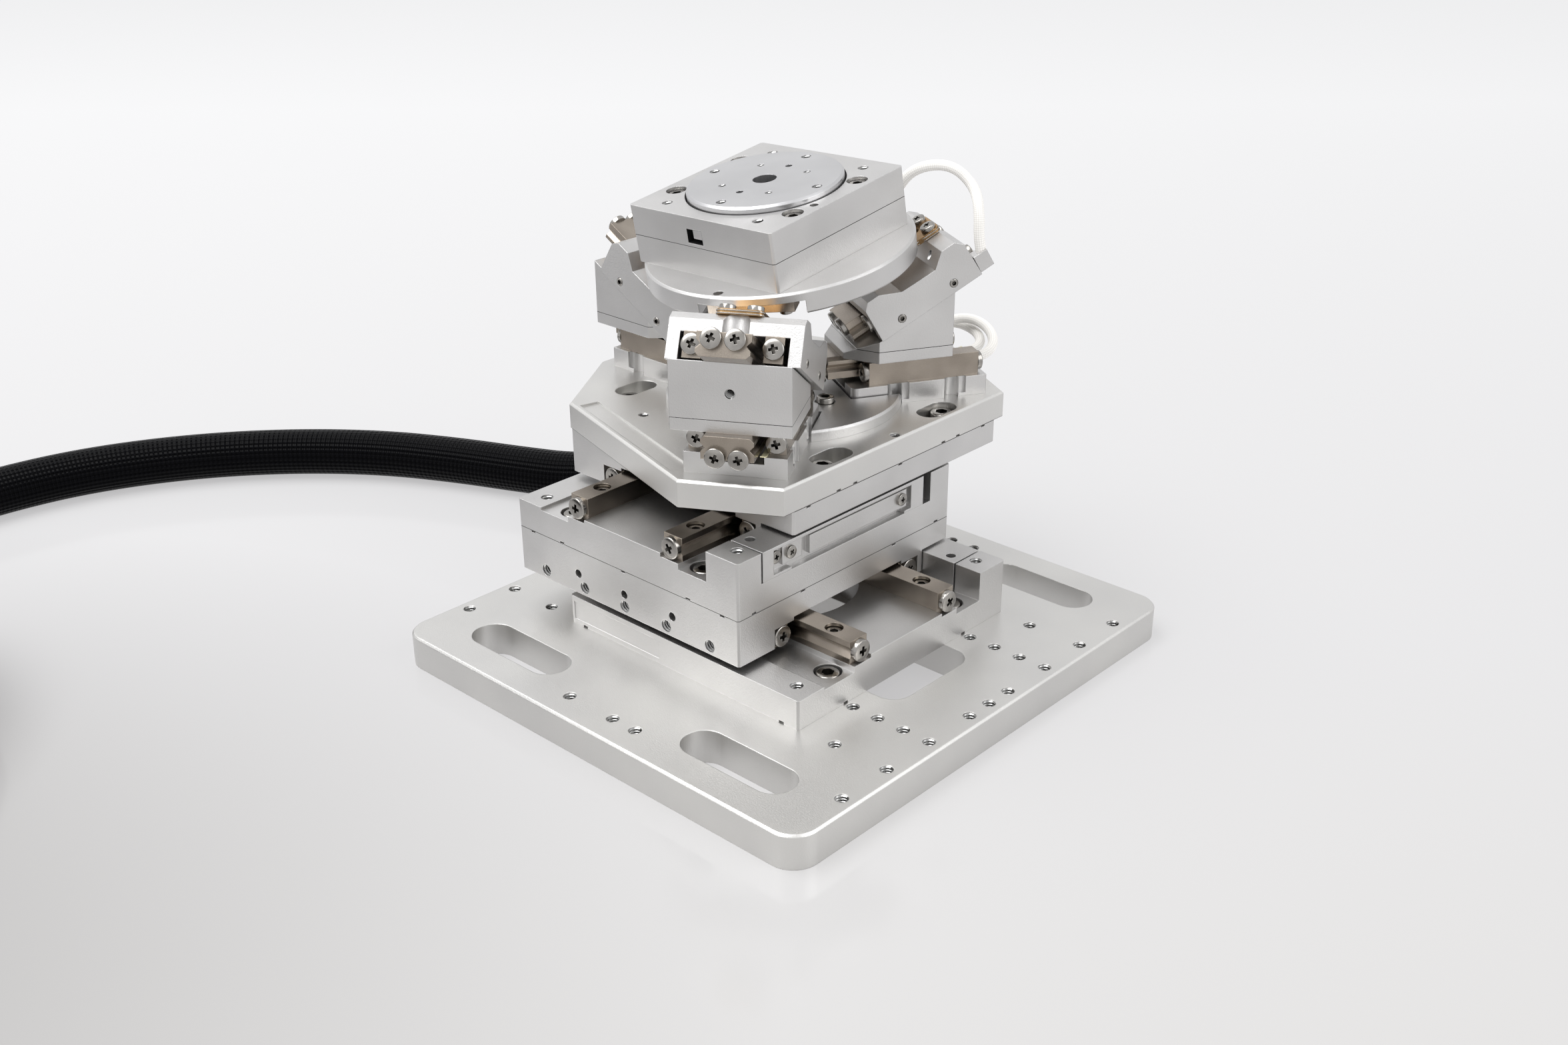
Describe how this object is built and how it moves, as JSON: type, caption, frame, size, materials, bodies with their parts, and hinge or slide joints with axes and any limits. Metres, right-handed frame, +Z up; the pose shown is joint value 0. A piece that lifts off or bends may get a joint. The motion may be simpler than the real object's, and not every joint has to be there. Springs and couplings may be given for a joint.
{
  "type": "parallel kinematic positioner",
  "caption": "Compact positioner: crossed-roller XY stages carry inclined legs with ball joints under a tilting platform with a rotation stage.",
  "frame": {"origin": "centre of the base plate's slot pattern, on its underside", "axes": "+Z up; +X along the lower stage's travel; +Y along the upper stage's travel"},
  "size_m": [0.2044, 0.2567, 0.0791],
  "materials": {
    "plate": "bead-blasted, clear anodised",
    "stage": "bead-blasted, clear anodised",
    "rail_steel": "ground, warm grey",
    "bronze": "rolled bronze strip",
    "ball_steel": "polished ball",
    "sleeve": "black braided sleeve",
    "white_wire": "matt white jacket",
    "connector": "plated shell"
  },
  "bodies": {
    "base": {"base_plate": "plate", "lower_base": "stage", "lower_cover": "stage", "lower_fixed_rails": "rail_steel", "sleeve_clamp": "stage", "sleeve": "sleeve", "sleeve_coil": "sleeve", "sleeve_tail": "sleeve", "connector": "connector"},
    "x_carriage": {"lower_slider": "stage", "lower_moving_rails": "rail_steel", "upper_base": "stage", "upper_cover": "stage", "upper_fixed_rails": "rail_steel"},
    "y_carriage": {"upper_slider": "stage", "upper_moving_rails": "rail_steel", "pod_plate": "plate", "pod_hub": "stage", "pod_wires": "white_wire", "leg_a_base": "stage", "leg_a_tracks": "rail_steel", "leg_b_base": "stage", "leg_b_tracks": "rail_steel", "leg_c_base": "stage", "leg_c_tracks": "rail_steel"},
    "shuttle_a": {"leg_a_runner": "rail_steel", "leg_a_wedge_plate": "stage", "leg_a_wedge": "stage", "leg_a_upper_runner": "rail_steel"},
    "head_a": {"leg_a_housing": "stage", "leg_a_upper_tracks": "rail_steel", "leg_a_flexure": "bronze", "leg_a_ball": "ball_steel"},
    "shuttle_b": {"leg_b_runner": "rail_steel", "leg_b_wedge_plate": "stage", "leg_b_wedge": "stage", "leg_b_upper_runner": "rail_steel"},
    "head_b": {"leg_b_housing": "stage", "leg_b_upper_tracks": "rail_steel", "leg_b_flexure": "bronze", "leg_b_ball": "ball_steel", "stage_wire": "white_wire", "wire_clip": "stage"},
    "shuttle_c": {"leg_c_runner": "rail_steel", "leg_c_wedge_plate": "stage", "leg_c_wedge": "stage", "leg_c_upper_runner": "rail_steel"},
    "head_c": {"leg_c_housing": "stage", "leg_c_upper_tracks": "rail_steel", "leg_c_flexure": "bronze", "leg_c_ball": "ball_steel"},
    "platform": {"platform_disc": "stage", "rotation_bottom": "stage", "rotation_top": "stage", "leg_a_guide": "rail_steel", "leg_b_guide": "rail_steel", "leg_c_guide": "rail_steel"},
    "rotor": {"rotor": "stage"}
  },
  "joints": [
    {"name": "x_slide", "type": "slide", "parent": "base", "child": "x_carriage", "axis": [1, 0, 0], "range_m": [-0.0032, 0.0278]},
    {"name": "y_slide", "type": "slide", "parent": "x_carriage", "child": "y_carriage", "axis": [0, 1, 0], "range_m": [-0.028, 0.003]},
    {"name": "platform_tilt", "type": "hinge", "parent": "y_carriage", "child": "platform", "pos_m": [-0.01276, 0.01309, 0.06126], "axis": [-0.976, 0.218, 0], "range_deg": [-2, 15]},
    {"name": "rotor_spin", "type": "hinge", "parent": "platform", "child": "rotor", "pos_m": [-0.01408, 0.0103, 0.07607], "axis": [-0.034, -0.1522, 0.9878], "continuous": true},
    {"name": "shuttle_a_slide", "type": "slide", "parent": "y_carriage", "child": "shuttle_a", "axis": [0.5, -0.866, 0], "range_m": [-0.0109, 0.0011]},
    {"name": "head_a_slide", "type": "slide", "parent": "shuttle_a", "child": "head_a", "axis": [0.433, -0.75, 0.5], "range_m": [-0.0044, 0.0076]},
    {"name": "shuttle_b_slide", "type": "slide", "parent": "y_carriage", "child": "shuttle_b", "axis": [0.5, 0.866, 0], "range_m": [-0.00065, 0.0061]},
    {"name": "head_b_slide", "type": "slide", "parent": "shuttle_b", "child": "head_b", "axis": [0.433, 0.75, 0.5], "range_m": [-0.0112, 0.0008]},
    {"name": "shuttle_c_slide", "type": "slide", "parent": "y_carriage", "child": "shuttle_c", "axis": [-1, 0, 0], "range_m": [-0.0109, 0.0011]},
    {"name": "head_c_slide", "type": "slide", "parent": "shuttle_c", "child": "head_c", "axis": [-0.866, 0, 0.5], "range_m": [-0.0034, 0.0086]}
  ],
  "couplings": [
    {"joint": "platform_tilt", "follows": "shuttle_b_slide", "rad_per_m": 39.956},
    {"joint": "shuttle_a_slide", "follows": "shuttle_b_slide", "ratio": -0.98345},
    {"joint": "head_a_slide", "follows": "shuttle_b_slide", "ratio": 1.1619},
    {"joint": "head_b_slide", "follows": "shuttle_b_slide", "ratio": -1.1386},
    {"joint": "shuttle_c_slide", "follows": "shuttle_b_slide", "ratio": -0.3001},
    {"joint": "head_c_slide", "follows": "shuttle_b_slide", "ratio": 0.36724}
  ]
}
